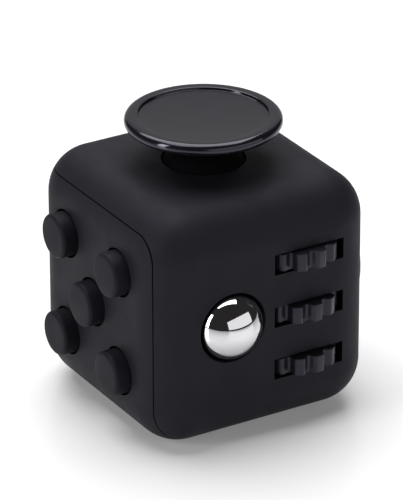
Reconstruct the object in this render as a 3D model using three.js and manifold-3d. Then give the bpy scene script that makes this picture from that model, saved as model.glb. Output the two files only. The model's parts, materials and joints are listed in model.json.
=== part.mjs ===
// Fidget cube: a 33 mm pocket toy with a different control on each face.
// Millimetres, +Z up, origin at the middle of the face the cube stands on.
//   -Y front: three thumb wheels and a chrome ball     -X left: five push buttons
//   +Z top: joystick      +X right: spinning dial      +Y back: flip switch      -Z bottom: thumb dish
// Each control is drawn in the frame of its own face: u to the right, v up, w out of the cube from the face.
import * as THREE from 'three';
import { RoundedBoxGeometry } from 'three/addons/geometries/RoundedBoxGeometry.js';
import { mergeVertices } from 'three/addons/utils/BufferGeometryUtils.js';
import Module from 'manifold-3d';

const wasm = await Module();
wasm.setup();

// ---------------------------------------------------------------- driving dimensions
const CUBE = 33;
const HALF = CUBE / 2;
const EDGE_R = 6.2;
const OUTER_STEPS = 5;          // steps of the rounding along the casing's outer edges
const INNER_STEPS = 2;
const WALL = 1.7;
const GAP = 0.3;                // between pieces that move or pass each other
const SEAT = 0.1;               // between pieces that rest on each other
const OUTSIDE = 5;              // how far a cutter reaches beyond the face it cuts
const INSIDE = 1;               // how far a cutter reaches beyond the wall it cuts

const PARTING_ANGLE = THREE.MathUtils.degToRad(32);   // where the halves meet, round each rounded edge

const DISH = { radius: 9, depth: 2, padRadius: 11, padHeight: 2.2 };

const BUTTON = {
  radius: 3, height: 2.1, round: 0.55, travel: 0.8,
  flangeRadius: 3.9, flangeThick: 0.6, stubRadius: 1, stubLength: 0.4,
  centreU: -0.53, centreV: -0.35, pitchU: 6.77, pitchV: 7.05,
};
const BOARD = { depth: 5.3, thick: 0.7, halfU: 11.5, halfV: 11.2 };
const BOARD_SCREW_PLACES = [[-0.6, -9], [-8.2, 0]];
const SWITCH = { side: 3, actuatorRadius: 0.7, actuatorHeight: 0.4 };
const SILENT_PAD = { footRadius: 1.8, footHeight: 0.3, topRadius: 1.2 };

const STICK = {
  pivotDepth: 3, domeRadius: 6, domeWall: 0.7, domeEdge: 10,
  stemRadius: 1.2, hubRadius: 1.9, tailRadius: 0.8, tailDepth: 6.8, shoulder: 2.6, pinRadius: 0.6,
};
const CAP = {
  radius: 10.32, rimRadius: 0.81, rimHeight: 5.4, recessRadius: 8.5, recessLip: 0.2, recessFloor: 0.42,
  dip: 0.2, under: 0.8, hubRadius: 3.25, hubDepth: 1.9, socketTop: 0.35,
};
const RING = { inner: 2.3, outer: 3.2, halfHeight: 1.5 };
const CRADLE = {
  baseDepth: 9.6, baseThick: 1.2, baseRadius: 5,
  postU: 3.6, postThick: 0.9, postHalfV: 1.3, postAbovePin: 1.2,
};

const WHEEL = {
  radius: 5.65, thick: 2.35, teeth: 12, grooveDepth: 0.85, landShare: 0.22, grooveShare: 0.42,
  bore: 1.2, u: 6.1, depth: 4, pitch: 7.47, middleV: 0.12, frontTooth: [9, 3, 7],
};
const SLOT = { u: 5.95, width: 10.4, height: 2.9, wheelRoom: 0.35, skin: 0.7 };
const AXLE = { radius: 1, bottom: -11.7, top: 10.6, spacerRadius: 2.1, clipRadius: 1.8, clipHeight: 0.6 };

const BALL = {
  radius: 4.7625, u: -5.46, v: 0.31, depth: 1.8, hole: 4.93, lip: 4.66, lipDepth: 0.28, travel: 0.9,
};
const CUP = { radius: 3.6, backDepth: 7.9, wallHeight: 3, pivotDepth: 0.7 };
const PLUNGER = { discThick: 0.9, stemRadius: 1.1, stemLength: 2.5, nibRadius: 0.6, nibLength: 0.8 };
const HOUSING = { inner: 4.1, outer: 4.75, mouthDepth: 5.5, floorDepth: 11.2, floorThick: 1 };

const ROCKER = {
  halfLength: 6.6, halfWidth: 4.2, pivotDepth: 2.9, middle: 3.18, skirt: 1.1, tilt: 12, round: 0.6,
  belly: 1.9, bellyHalf: 1.9, bellyEdge: 1.4, tailRadius: 1.7, tailLength: 2.6, tailBore: 1.1, pinRadius: 0.8,
};
const DETENT = { tip: 3.9, radius: 0.75, ridgeHeight: 0.35, ridgeHalf: 1, ridgeHalfLength: 1.5 };
const ROCKER_BOX = {
  halfU: 5.9, halfV: 9.2, wall: 1.2, frontDepth: 2, backDepth: 8.6, openU: 4.55, openV: 7.75,
};

const DIAL = {
  radius: 9.6, lift: 0.3, height: 2.1, round: 0.7, hubRadius: 2.9, screwHoleTop: 0.2, screwReach: 2.1,
  dimpleRadius: 3.3, dimpleDepth: 1.1, dimpleAt: 5.2, washerRadius: 4.4, washerThick: 0.8,
};

const SCREW = {
  headRadius: 1.5, headHeight: 0.9, headChamfer: 0.3, crossHalf: 0.9, crossWidth: 0.4, crossDepth: 0.5,
  shankRadius: 0.65, point: 0.5, holeRadius: 0.95,
};
const BOSS_RADIUS = 1.8;

// The frame's levels are heights above the ground; its sides are places along X and Y.
const FRAME = {
  baseBottom: 4.3, baseTop: 5.6, deckBottom: 20.8, deckTop: 21.9, armBottom: 25.9, armTop: 27.3,
  baseLeft: -10.3, baseRight: 13, baseFront: -10.3, baseRear: 12,
  left: -10.2, right: 9.2, front: -1.9, rear: 7, wall: 1.2,
  pillarLeft: 3, pillarRight: 7.5, pillarFront: -3.9, armLeft: 4.4, armFront: -12.5, armRear: -5.2,
  tongueHalf: 2.4, tongueFront: -13, axleSocketTop: 7.6, tabRear: 9.6, tabBottom: 14.2, tabTop: 18.8,
};
const FRAME_SCREW_PLACES = [[-8.6, -8.4], [10.4, -8], [10.4, 9.6], [-8.4, 9.6]];
const FRAME_SCREW_LENGTH = 3.4;

const BUTTON_SPRING = { meanRadius: 2.6, wireRadius: 0.25, turns: 2 };
const BALL_SPRING = { meanRadius: 2.3, wireRadius: 0.15, turns: 2 };
const JOYSTICK_SPRING = { meanRadius: 2.9, wireRadius: 0.3, turns: 3 };

// ---------------------------------------------------------------- materials
function finish(color, roughness, metalness = 0) {
  return new THREE.MeshStandardMaterial({ color, roughness, metalness });
}
const SOFT_BLACK = finish(0x2b2b30, 0.6);
const GLOSS_BLACK = finish(0x1c1c20, 0.25);
const FRAME_BLACK = finish(0x222224, 0.5);
const BOARD_GREEN = finish(0x2f6b45, 0.5);
const SWITCH_BLACK = finish(0x222226, 0.45);
const RUBBER = finish(0x4a4a50, 0.9);
const STEEL = finish(0xb9bcc2, 0.3, 1);
const CHROME = finish(0xe8e8ea, 0.05, 1);
const BRASS = finish(0xc7a250, 0.35, 1);

// ---------------------------------------------------------------- solids
// A closed mesh as a solid: corners shared, slivers at the poles dropped, faces turned outwards.
function toSolid(geometry) {
  const bare = geometry.clone();
  bare.deleteAttribute('normal');
  bare.deleteAttribute('uv');
  const merged = mergeVertices(bare, 1e-4);
  const vertProperties = merged.attributes.position.array;
  const index = merged.index.array;
  const corner = (i) => new THREE.Vector3().fromArray(vertProperties, 3 * i);
  const triangles = [];
  let volume = 0;
  for (let i = 0; i < index.length; i += 3) {
    const [a, b, c] = index.slice(i, i + 3);
    if (a === b || b === c || c === a) continue;
    triangles.push([a, b, c]);
    volume += corner(a).dot(corner(b).cross(corner(c)));
  }
  const outward = volume > 0 ? triangles : triangles.map(([a, b, c]) => [a, c, b]);
  const triVerts = new Uint32Array(outward.flat());
  return new wasm.Manifold(new wasm.Mesh({ numProp: 3, vertProperties, triVerts }));
}

function toGeometry(solid) {
  const { vertProperties, triVerts } = solid.getMesh();
  const geometry = new THREE.BufferGeometry();
  geometry.setAttribute('position', new THREE.Float32BufferAttribute(vertProperties, 3));
  geometry.setIndex(Array.from(triVerts));
  geometry.computeVertexNormals();
  return geometry;
}

function piece(name, solid, material) {
  const mesh = new THREE.Mesh(toGeometry(solid), material);
  mesh.name = name;
  return mesh;
}

function block(u0, u1, v0, v1, w0, w1) {
  const box = new THREE.BoxGeometry(u1 - u0, v1 - v0, w1 - w0);
  box.translate((u0 + u1) / 2, (v0 + v1) / 2, (w0 + w1) / 2);
  return toSolid(box);
}

const TURN_TO = {
  u: (g) => g.rotateZ(-Math.PI / 2),
  v: (g) => g,
  w: (g) => g.rotateX(Math.PI / 2),
};

// A round bar of the given radius along one axis, from one end to the other, through the point at.
function bar(axis, radius, from, to, at = [0, 0, 0], sides = 24) {
  const cylinder = new THREE.CylinderGeometry(radius, radius, to - from, sides);
  TURN_TO[axis](cylinder);
  const middle = [...at];
  middle['uvw'.indexOf(axis)] = (from + to) / 2;
  cylinder.translate(...middle);
  return toSolid(cylinder);
}

function ball(radius, at = [0, 0, 0], sides = 32) {
  const sphere = new THREE.SphereGeometry(radius, sides, sides / 2);
  sphere.translate(...at);
  return toSolid(sphere);
}

// A profile of [radius, height] points turned about the w axis.
function turned(profile, sides = 32) {
  const points = profile.map(([r, h]) => new THREE.Vector2(r, h));
  const lathe = new THREE.LatheGeometry(points, sides);
  lathe.rotateX(Math.PI / 2);
  return toSolid(lathe);
}

function arc(centreR, centreH, radius, fromDeg, toDeg, steps) {
  return Array.from({ length: steps + 1 }, (_, i) => {
    const angle = THREE.MathUtils.degToRad(fromDeg + ((toDeg - fromDeg) * i) / steps);
    return [centreR + radius * Math.cos(angle), centreH + radius * Math.sin(angle)];
  });
}

class Helix extends THREE.Curve {
  constructor(radius, length, turns) {
    super();
    Object.assign(this, { radius, length, turns });
  }

  getPoint(t, target = new THREE.Vector3()) {
    const angle = 2 * Math.PI * this.turns * t;
    return target.set(this.radius * Math.cos(angle), this.radius * Math.sin(angle), this.length * t);
  }
}

// A coil spring round the w axis, resting on a seat at each end.
function coil({ meanRadius, wireRadius, turns }, lowSeat, highSeat) {
  const stepsPerTurn = 9;
  const wire = new THREE.Shape();
  wire.absarc(0, 0, wireRadius, 0, 2 * Math.PI);
  const clearance = SEAT + wireRadius;
  const path = new Helix(meanRadius, highSeat - lowSeat - 2 * clearance, turns);
  const options = { extrudePath: path, steps: turns * stepsPerTurn, curveSegments: 3, bevelEnabled: false };
  const wireAlongHelix = new THREE.ExtrudeGeometry(wire, options);
  wireAlongHelix.translate(0, 0, lowSeat + clearance);
  return toSolid(wireAlongHelix);
}

function joined(...solids) {
  return solids.reduce((whole, next) => whole.add(next));
}

function cutBy(solid, ...tools) {
  return tools.reduce((rest, tool) => rest.subtract(tool), solid);
}

// ---------------------------------------------------------------- faces of the cube
const UP = [0, 0, 1];
const FACES = {
  front: { u: [1, 0, 0], v: UP, w: [0, -1, 0] },
  left: { u: [0, -1, 0], v: UP, w: [-1, 0, 0] },
  right: { u: [0, 1, 0], v: UP, w: [1, 0, 0] },
  back: { u: [-1, 0, 0], v: UP, w: [0, 1, 0] },
  top: { u: [1, 0, 0], v: [0, 1, 0], w: UP },
};

function faceMatrix(name) {
  const [u, v, w] = ['u', 'v', 'w'].map((axis) => new THREE.Vector3(...FACES[name][axis]));
  const centre = w.clone().multiplyScalar(HALF).add(new THREE.Vector3(0, 0, HALF));
  return new THREE.Matrix4().makeBasis(u, v, w).setPosition(centre);
}

// A solid drawn in a face's frame, moved to its place in the cube.
function onFace(name, solid) {
  return toSolid(toGeometry(solid).applyMatrix4(faceMatrix(name)));
}

function faceGroup(name, pieces) {
  const group = new THREE.Group();
  group.add(...pieces);
  group.applyMatrix4(faceMatrix(name));
  return group;
}

// ---------------------------------------------------------------- left face: five buttons
const { centreU, centreV, pitchU, pitchV } = BUTTON;
const BUTTON_PLACES = {
  rear_upper: [centreU - pitchU, centreV + pitchV],
  front_upper: [centreU + pitchU, centreV + pitchV],
  centre: [centreU, centreV],
  rear_lower: [centreU - pitchU, centreV - pitchV],
  front_lower: [centreU + pitchU, centreV - pitchV],
};
const CLICKING = ['rear_upper', 'centre', 'front_lower'];
const FLANGE_FRONT = -WALL - GAP;
const FLANGE_BACK = FLANGE_FRONT - BUTTON.flangeThick;
const STUB_END = FLANGE_BACK - BUTTON.stubLength;

function buttonSolid() {
  const { radius, height, round, flangeRadius, stubRadius } = BUTTON;
  return turned([
    [0, STUB_END], [stubRadius, STUB_END], [stubRadius, FLANGE_BACK], [flangeRadius, FLANGE_BACK],
    [flangeRadius, FLANGE_FRONT], [radius, FLANGE_FRONT],
    ...arc(radius - round, height - round, round, 0, 90, 3), [0, height],
  ], 24);
}

// The switches and pads stay just clear of the buttons' stubs when the buttons are right in.
const PRESSED_STUB = STUB_END - BUTTON.travel - SEAT;

// A square switch body with a round actuator on top.
function switchSolid(seat, tip) {
  const { side, actuatorRadius, actuatorHeight } = SWITCH;
  const bodyTop = tip - actuatorHeight;
  const body = block(-side / 2, side / 2, -side / 2, side / 2, seat + SEAT, bodyTop);
  return body.add(bar('w', actuatorRadius, bodyTop - SEAT, tip, [0, 0, 0], 12));
}

function silentPadSolid() {
  const { footRadius, footHeight, topRadius } = SILENT_PAD;
  const foot = -BOARD.depth + SEAT;
  return turned([
    [0, foot], [footRadius, foot], [footRadius, foot + footHeight],
    [topRadius, PRESSED_STUB], [0, PRESSED_STUB],
  ], 16);
}

function boardSolid() {
  const { depth, thick, halfU, halfV } = BOARD;
  const [back, front] = [-depth - thick, -depth];
  const holes = BOARD_SCREW_PLACES.map(([u, v]) => {
    return bar('w', SCREW.holeRadius, back - INSIDE, front + INSIDE, [u, v, 0], 16);
  });
  return cutBy(block(-halfU, halfU, -halfV, halfV, back, front), ...holes);
}

function boardScrews() {
  const shankLength = BOARD.thick + FRAME.wall;
  return BOARD_SCREW_PLACES.map(([u, v], i) => {
    const screw = piece(`board_screw_${i + 1}`, screwSolid(shankLength), STEEL);
    screw.rotation.x = Math.PI;
    screw.position.set(u, v, -BOARD.depth + SEAT);
    return screw;
  });
}

function leftFace() {
  const pieces = [piece('button_board', boardSolid(), BOARD_GREEN), ...boardScrews()];
  for (const [place, [u, v]] of Object.entries(BUTTON_PLACES)) {
    const spring = coil(BUTTON_SPRING, -BOARD.depth, FLANGE_BACK);
    const contact = CLICKING.includes(place)
      ? piece(`click_switch_${place}`, switchSolid(-BOARD.depth, PRESSED_STUB), SWITCH_BLACK)
      : piece(`silent_pad_${place}`, silentPadSolid(), RUBBER);
    const stack = [
      piece(`button_${place}`, buttonSolid(), SOFT_BLACK),
      piece(`button_spring_${place}`, spring, STEEL),
      contact,
    ];
    for (const part of stack) {
      part.position.set(u, v, 0);
      pieces.push(part);
    }
  }
  return faceGroup('left', pieces);
}

function buttonHoles() {
  const radius = BUTTON.radius + GAP;
  return Object.values(BUTTON_PLACES).map(([u, v]) => {
    return onFace('left', bar('w', radius, -WALL - INSIDE, OUTSIDE, [u, v, 0], 32));
  });
}

// ---------------------------------------------------------------- front face: three thumb wheels
const WHEEL_ROWS = [1, 0, -1].map((row) => row * WHEEL.pitch + WHEEL.middleV);
const WHEEL_NAMES = ['upper', 'middle', 'lower'];

// The wheel's radius at a share of the way from the middle of a tooth to the middle of the next.
function toothRadius(share) {
  const { radius, grooveDepth, landShare, grooveShare } = WHEEL;
  return radius - grooveDepth * THREE.MathUtils.smoothstep(Math.abs(share), landShare, grooveShare);
}

function wheelOutline() {
  const shares = [-0.42, -0.34, -0.27, -0.13, 0.13, 0.27, 0.34, 0.42];
  const points = Array.from({ length: WHEEL.teeth }, (_, tooth) => shares.map((share) => {
    const angle = ((tooth + share) / WHEEL.teeth) * 2 * Math.PI;
    return new THREE.Vector2(Math.cos(angle), Math.sin(angle)).multiplyScalar(toothRadius(share));
  }));
  return new THREE.Shape(points.flat());
}

function wheelSolid() {
  const disc = new THREE.ExtrudeGeometry(wheelOutline(), { depth: WHEEL.thick, bevelEnabled: false });
  disc.translate(0, 0, -WHEEL.thick / 2);
  return cutBy(toSolid(disc), bar('w', WHEEL.bore, -WHEEL.thick, WHEEL.thick, [0, 0, 0], 20));
}

// The axle runs up the face, so the wheels and spacers are turned from w to v.
function onAxle(part, v) {
  part.rotation.x = -Math.PI / 2;
  part.position.set(WHEEL.u, v, -WHEEL.depth);
  return part;
}

function tube(inner, outer, length, sides = 20) {
  const half = length / 2;
  return turned([[inner, -half], [outer, -half], [outer, half], [inner, half], [inner, -half]], sides);
}

function wheelPieces() {
  const { radius, bottom, top, spacerRadius, clipRadius, clipHeight } = AXLE;
  const wheels = WHEEL_NAMES.map((name, i) => {
    const wheel = onAxle(piece(`thumb_wheel_${name}`, wheelSolid(), GLOSS_BLACK), WHEEL_ROWS[i]);
    wheel.rotateZ(THREE.MathUtils.degToRad(WHEEL.frontTooth[i] - 90));
    return wheel;
  });
  const spacerLength = WHEEL.pitch - WHEEL.thick - 4 * SEAT;
  const spacers = ['upper', 'lower'].map((name, i) => {
    const spacer = piece(`axle_spacer_${name}`, tube(WHEEL.bore, spacerRadius, spacerLength), FRAME_BLACK);
    return onAxle(spacer, (WHEEL_ROWS[i] + WHEEL_ROWS[i + 1]) / 2);
  });
  const axle = piece('wheel_axle', bar('v', radius, bottom, top, [WHEEL.u, 0, -WHEEL.depth]), STEEL);
  const clip = piece('axle_clip', tube(WHEEL.bore, clipRadius, clipHeight), STEEL);
  return [...wheels, ...spacers, axle, onAxle(clip, FRAME.armTop - HALF + SEAT + clipHeight / 2)];
}

function wheelCutters() {
  const { u, depth, radius } = WHEEL;
  const [left, right] = [SLOT.u - SLOT.width / 2, SLOT.u + SLOT.width / 2];
  return WHEEL_ROWS.flatMap((v) => {
    const [low, high] = [v - SLOT.height / 2, v + SLOT.height / 2];
    const slot = block(left, right, low, high, -WALL - INSIDE, OUTSIDE);
    const room = bar('v', radius + SLOT.wheelRoom, low, high, [u, 0, -depth], 36);
    const reach = 2 * radius;
    const behindFace = block(u - reach, u + reach, low, high, -depth - reach, SLOT.skin - WALL);
    return [slot, room.intersect(behindFace)].map((tool) => onFace('front', tool));
  });
}

// ---------------------------------------------------------------- front face: chrome ball
const CUP_FLOOR = -BALL.depth - BALL.radius - GAP;
const PLUNGER_FRONT = -CUP.backDepth - GAP;
const PLUNGER_BACK = PLUNGER_FRONT - PLUNGER.discThick;
const STEM_END = PLUNGER_BACK - PLUNGER.stemLength;
const HOUSING_BACK = -HOUSING.floorDepth - HOUSING.floorThick;

function cupSolid() {
  const { radius, backDepth, wallHeight, pivotDepth } = CUP;
  const body = bar('w', radius, -backDepth, CUP_FLOOR + wallHeight, [0, 0, 0], 32);
  const seat = ball(BALL.radius + GAP, [0, 0, -BALL.depth], 32);
  const pivotRadius = PLUNGER.nibRadius + GAP;
  const pivotHole = bar('w', pivotRadius, -backDepth - INSIDE, -backDepth + pivotDepth, [0, 0, 0], 12);
  return cutBy(body, seat, pivotHole);
}

function plungerSolid() {
  const { stemRadius, nibRadius, nibLength } = PLUNGER;
  return turned([
    [0, STEM_END], [stemRadius, STEM_END], [stemRadius, PLUNGER_BACK], [CUP.radius, PLUNGER_BACK],
    [CUP.radius, PLUNGER_FRONT], [nibRadius, PLUNGER_FRONT], [nibRadius, PLUNGER_FRONT + nibLength],
    [0, PLUNGER_FRONT + nibLength],
  ], 24);
}

function ballHousingSolid() {
  const { inner, outer, mouthDepth, floorDepth } = HOUSING;
  const bore = PLUNGER.stemRadius + GAP;
  return turned([
    [bore, HOUSING_BACK], [outer, HOUSING_BACK], [outer, -mouthDepth], [inner, -mouthDepth],
    [inner, -floorDepth], [bore, -floorDepth], [bore, HOUSING_BACK],
  ], 24);
}

function ballPieces() {
  const frameWall = -HALF - FRAME.front;
  const pressedStem = STEM_END - BALL.travel - SEAT;
  const parts = [
    piece('steel_ball', ball(BALL.radius, [0, 0, -BALL.depth], 28), CHROME),
    piece('ball_cup', cupSolid(), GLOSS_BLACK),
    piece('ball_plunger', plungerSolid(), FRAME_BLACK),
    piece('ball_spring', coil(BALL_SPRING, -HOUSING.floorDepth, PLUNGER_BACK), STEEL),
    piece('ball_housing', ballHousingSolid(), FRAME_BLACK),
    piece('ball_click_switch', switchSolid(frameWall, pressedStem), SWITCH_BLACK),
  ];
  for (const part of parts) part.position.set(BALL.u, BALL.v, 0);
  return parts;
}

// The hole narrows to a lip just ahead of the ball's widest ring, so the ball can't fall out.
function ballHole() {
  const { hole, lip, lipDepth, radius, u, v } = BALL;
  const bore = radius + GAP + 0.05;
  const back = -WALL - INSIDE;
  const profile = [
    [0, back], [bore, back], [bore, lipDepth + SEAT - WALL], [lip, -lipDepth], [hole, 0],
    [hole, OUTSIDE], [0, OUTSIDE],
  ];
  return onFace('front', turned(profile, 40).translate(u, v, 0));
}

// ---------------------------------------------------------------- top face: joystick
// A flat disc with a fat rounded rim, a shallow recess on top and a short hub underneath.
function capSolid() {
  const { radius, rimRadius, rimHeight, recessRadius, recessLip, recessFloor, dip } = CAP;
  const { under, hubRadius, hubDepth, socketTop } = CAP;
  const socket = STICK.stemRadius + GAP;
  const underside = rimHeight - under;
  return turned([
    [0, rimHeight - socketTop], [socket, rimHeight - socketTop], [socket, rimHeight - hubDepth],
    [hubRadius, rimHeight - hubDepth], [hubRadius, underside], [radius - 2 * rimRadius, underside],
    ...arc(radius - rimRadius, rimHeight, rimRadius, -100, 90, 7),
    ...arc(recessRadius + recessLip, rimHeight + rimRadius - recessLip, recessLip, 90, 180, 2),
    [recessRadius, rimHeight + recessFloor], [0, rimHeight + recessFloor - dip],
  ], 40);
}

// A cap of a ball centred on the pivot: it fills the round opening however the stick leans.
function domeSolid() {
  const { domeRadius, domeWall, domeEdge, pivotDepth, stemRadius } = STICK;
  const bore = stemRadius + GAP;
  const inner = domeRadius - domeWall;
  const outerTop = THREE.MathUtils.radToDeg(Math.acos(bore / domeRadius));
  const innerTop = THREE.MathUtils.radToDeg(Math.acos(bore / inner));
  const outerArc = arc(0, -pivotDepth, domeRadius, domeEdge, outerTop, 7);
  return turned([...outerArc, ...arc(0, -pivotDepth, inner, innerTop, domeEdge, 5), outerArc[0]], 32);
}

function stemSolid() {
  const { stemRadius, hubRadius, tailRadius, tailDepth, pivotDepth, shoulder, pinRadius } = STICK;
  const tip = CAP.rimHeight - CAP.socketTop - GAP;
  const shaft = turned([
    [0, -tailDepth], [tailRadius, -tailDepth], [tailRadius, -pivotDepth - shoulder],
    [stemRadius, -pivotDepth - shoulder], [stemRadius, tip], [0, tip],
  ], 16);
  const pinEnd = RING.outer - GAP;
  const pin = bar('v', pinRadius, -pinEnd, pinEnd, [0, 0, -pivotDepth], 16);
  return joined(shaft, ball(hubRadius, [0, 0, -pivotDepth], 16), pin);
}

// The same span on the positive or the negative side of the axis, low end first.
function mirroredSpan(side, near, far) {
  return [side * near, side * far].sort((a, b) => a - b);
}

function gimbalRingSolid() {
  const { inner, outer, halfHeight } = RING;
  const depth = -STICK.pivotDepth;
  const ring = tube(inner, outer, 2 * halfHeight, 24).translate(0, 0, depth);
  const pinEnd = CRADLE.postU + CRADLE.postThick - SEAT;
  const pins = [1, -1].map((side) => {
    return bar('u', STICK.pinRadius, ...mirroredSpan(side, outer - GAP, pinEnd), [0, 0, depth], 16);
  });
  const bore = bar('v', STICK.pinRadius + GAP, -outer - INSIDE, outer + INSIDE, [0, 0, depth], 16);
  return cutBy(joined(ring, ...pins), bore);
}

function cradleSolid() {
  const { baseDepth, baseThick, baseRadius, postU, postThick, postHalfV, postAbovePin } = CRADLE;
  const depth = -STICK.pivotDepth;
  const base = bar('w', baseRadius, -baseDepth - baseThick, -baseDepth, [0, 0, 0], 32);
  const posts = [1, -1].map((side) => {
    const span = mirroredSpan(side, postU, postU + postThick);
    return block(...span, -postHalfV, postHalfV, -baseDepth - baseThick / 2, depth + postAbovePin);
  });
  const bore = bar('u', STICK.pinRadius + GAP, -baseRadius - INSIDE, baseRadius + INSIDE, [0, 0, depth], 16);
  return cutBy(joined(base, ...posts), bore);
}

function topFace() {
  const ringFoot = -STICK.pivotDepth - RING.halfHeight;
  return faceGroup('top', [
    piece('joystick_cap', capSolid(), GLOSS_BLACK),
    piece('joystick_dome', domeSolid(), GLOSS_BLACK),
    piece('joystick_stem', stemSolid(), STEEL),
    piece('gimbal_ring', gimbalRingSolid(), BRASS),
    piece('joystick_cradle', cradleSolid(), FRAME_BLACK),
    piece('joystick_spring', coil(JOYSTICK_SPRING, -CRADLE.baseDepth, ringFoot), STEEL),
  ]);
}

function joystickHole() {
  return onFace('top', ball(STICK.domeRadius + GAP, [0, 0, -STICK.pivotDepth], 40));
}

// ---------------------------------------------------------------- back face: flip switch
// The profile lies in the v-w plane, pivot at its origin, and is extruded along u.
function extrudedAcross(points, halfWidth) {
  const shape = new THREE.Shape(points.map(([v, w]) => new THREE.Vector2(v, w)));
  const body = new THREE.ExtrudeGeometry(shape, { depth: 2 * halfWidth, bevelEnabled: false });
  body.translate(0, 0, -halfWidth);
  const axes = [new THREE.Vector3(0, 1, 0), new THREE.Vector3(0, 0, 1), new THREE.Vector3(1, 0, 0)];
  return toSolid(body.applyMatrix4(new THREE.Matrix4().makeBasis(...axes)));
}

function rockerSolid() {
  const { halfLength, halfWidth, middle, skirt, tilt, round, belly, bellyHalf, bellyEdge } = ROCKER;
  const { tailRadius, tailLength, tailBore, pinRadius } = ROCKER;
  const end = middle + halfLength * Math.tan(THREE.MathUtils.degToRad(tilt));
  const endArc = arc(halfLength - round, end - round, round, 0, 90, 3);
  const side = [[0, -belly], [bellyHalf, -bellyEdge], [halfLength, skirt], ...endArc, [0, middle]];
  const mirrored = side.slice(1, -1).reverse().map(([v, w]) => [-v, w]);
  const pinBore = bar('u', pinRadius + GAP, -halfWidth - INSIDE, halfWidth + INSIDE, [0, 0, 0], 20);
  const body = cutBy(extrudedAcross([...side, ...mirrored], halfWidth), pinBore);
  const tail = bar('w', tailRadius, -tailLength, -bellyEdge, [0, 0, 0], 20);
  const springBore = bar('w', tailBore, -tailLength - INSIDE, -belly + GAP, [0, 0, 0], 16);
  return cutBy(body.add(tail), springBore);
}

function detentPinSolid() {
  const { tip, radius } = DETENT;
  const head = -ROCKER.tailLength + 0.5;
  return turned([[0, -tip], ...arc(0, radius - tip, radius, -60, 0, 3), [radius, head], [0, head]], 16);
}

function rockerBoxSolid() {
  const { halfU, halfV, wall, frontDepth, backDepth } = ROCKER_BOX;
  const { ridgeHeight, ridgeHalf, ridgeHalfLength } = DETENT;
  const floor = -backDepth + wall;
  const outer = block(-halfU, halfU, -halfV, halfV, -backDepth, -frontDepth);
  const room = block(-halfU + wall, halfU - wall, -halfV + wall, halfV - wall, floor, 0);
  const boreEnd = halfU + INSIDE;
  const pinBore = bar('u', ROCKER.pinRadius + SEAT, -boreEnd, boreEnd, [0, 0, -ROCKER.pivotDepth], 20);
  const ridgeOutline = [[-ridgeHalf, floor - SEAT], [ridgeHalf, floor - SEAT], [0, floor + ridgeHeight]];
  return cutBy(outer, room, pinBore).add(extrudedAcross(ridgeOutline, ridgeHalfLength));
}

function backFace() {
  const tilted = [
    piece('rocker', rockerSolid(), GLOSS_BLACK),
    piece('rocker_detent_pin', detentPinSolid(), BRASS),
  ];
  for (const part of tilted) {
    part.position.set(0, 0, -ROCKER.pivotDepth);
    part.rotation.x = THREE.MathUtils.degToRad(ROCKER.tilt);
  }
  const pinHalf = ROCKER_BOX.halfU - SEAT;
  const pin = bar('u', ROCKER.pinRadius, -pinHalf, pinHalf, [0, 0, -ROCKER.pivotDepth], 20);
  return faceGroup('back', [
    ...tilted,
    piece('rocker_pin', pin, STEEL),
    piece('rocker_housing', rockerBoxSolid(), FRAME_BLACK),
  ]);
}

function rockerHole() {
  const { openU, openV } = ROCKER_BOX;
  return onFace('back', block(-openU, openU, -openV, openV, -WALL - INSIDE, OUTSIDE));
}

// ---------------------------------------------------------------- right face: spinning dial
const DIAL_HUB_END = -WALL - GAP;

function dialSolid() {
  const { radius, lift, height, round, hubRadius, screwHoleTop } = DIAL;
  const { dimpleRadius, dimpleDepth, dimpleAt } = DIAL;
  const disc = turned([
    [0, DIAL_HUB_END], [hubRadius, DIAL_HUB_END], [hubRadius, lift], [radius, lift],
    ...arc(radius - round, height - round, round, 0, 90, 3), [0, height],
  ], 44);
  const scoopRadius = (dimpleRadius ** 2 + dimpleDepth ** 2) / (2 * dimpleDepth);
  const scoop = ball(scoopRadius, [0, dimpleAt, height - dimpleDepth + scoopRadius], 40);
  const screwHole = bar('w', SCREW.holeRadius, DIAL_HUB_END - INSIDE, screwHoleTop, [0, 0, 0], 16);
  return cutBy(disc, scoop, screwHole);
}

// A washer wider than the hole keeps the dial in; the screw holds it to the hub.
function rightFace() {
  const { washerRadius, washerThick, screwReach } = DIAL;
  const washerFront = DIAL_HUB_END - SEAT;
  const washer = tube(SCREW.holeRadius, washerRadius, washerThick, 32);
  const screw = screwSolid(screwReach);
  return faceGroup('right', [
    piece('dial', dialSolid(), GLOSS_BLACK),
    piece('dial_washer', washer.translate(0, 0, washerFront - washerThick / 2), STEEL),
    piece('dial_screw', screw.translate(0, 0, washerFront - washerThick - SEAT), STEEL),
  ]);
}

function dialHole() {
  return onFace('right', bar('w', DIAL.hubRadius + GAP, -WALL - INSIDE, OUTSIDE, [0, 0, 0], 40));
}

// ---------------------------------------------------------------- fasteners
// Head below w = 0, shank above it, with a cross recess in the head.
function screwSolid(shankLength) {
  const { headRadius, headHeight, headChamfer, shankRadius, point } = SCREW;
  const body = turned([
    [0, -headHeight], [headRadius - headChamfer, -headHeight], [headRadius, headChamfer - headHeight],
    [headRadius, 0], [shankRadius, 0], [shankRadius, shankLength - point], [0, shankLength],
  ], 12);
  const { crossHalf, crossWidth, crossDepth } = SCREW;
  const slot = (u, v) => block(-u, u, -v, v, -headHeight - INSIDE, crossDepth - headHeight);
  return cutBy(body, slot(crossHalf, crossWidth / 2), slot(crossWidth / 2, crossHalf));
}

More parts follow.
